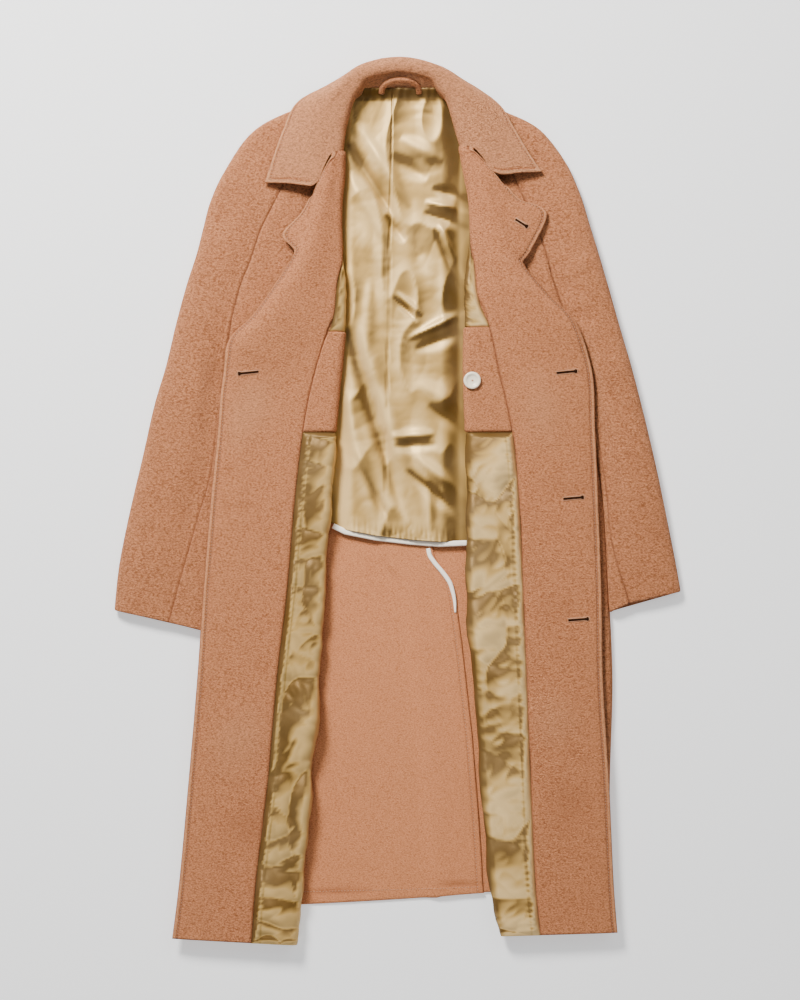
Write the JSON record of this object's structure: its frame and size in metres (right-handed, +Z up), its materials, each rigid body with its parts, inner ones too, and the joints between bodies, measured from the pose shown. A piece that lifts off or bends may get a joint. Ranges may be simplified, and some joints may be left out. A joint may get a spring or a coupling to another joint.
{
  "type": "double-breasted overcoat",
  "caption": "Long double-breasted wool overcoat laid open on its back, with both fronts turned out to show the facings, satin lining and unlined lower back.",
  "frame": {"origin": "on the surface the coat lies on, under the middle of its outline", "axes": "+Y from the hem to the collar, +X to the wearer's left, +Z up from the surface"},
  "size_m": [0.7548, 1.1768, 0.0463],
  "materials": {
    "wool": "curly brushed wool nap, matt",
    "wool_inside": "flat felted wool, matt",
    "satin": "satin weave, soft sheen",
    "binding": "folded bias tape",
    "button": "polished resin"
  },
  "bodies": {
    "root": {"front_right": "wool", "facing_right": "wool", "lining_upper_right": "satin", "pocket_panel_right": "wool", "lining_lower_right": "satin", "front_left": "wool", "facing_left": "wool", "lining_upper_left": "satin", "pocket_panel_left": "wool", "lining_lower_left": "satin", "sleeve_top_right": "wool", "sleeve_under_right": "wool", "sleeve_top_left": "wool", "sleeve_under_left": "wool", "under_collar": "wool", "upper_collar": "wool", "back_right": "wool_inside", "back_left": "wool_inside", "back_lining": "satin", "lining_binding": "binding", "vent_binding": "binding", "hanger_loop": "wool", "inner_button": "button"}
  },
  "joints": []
}
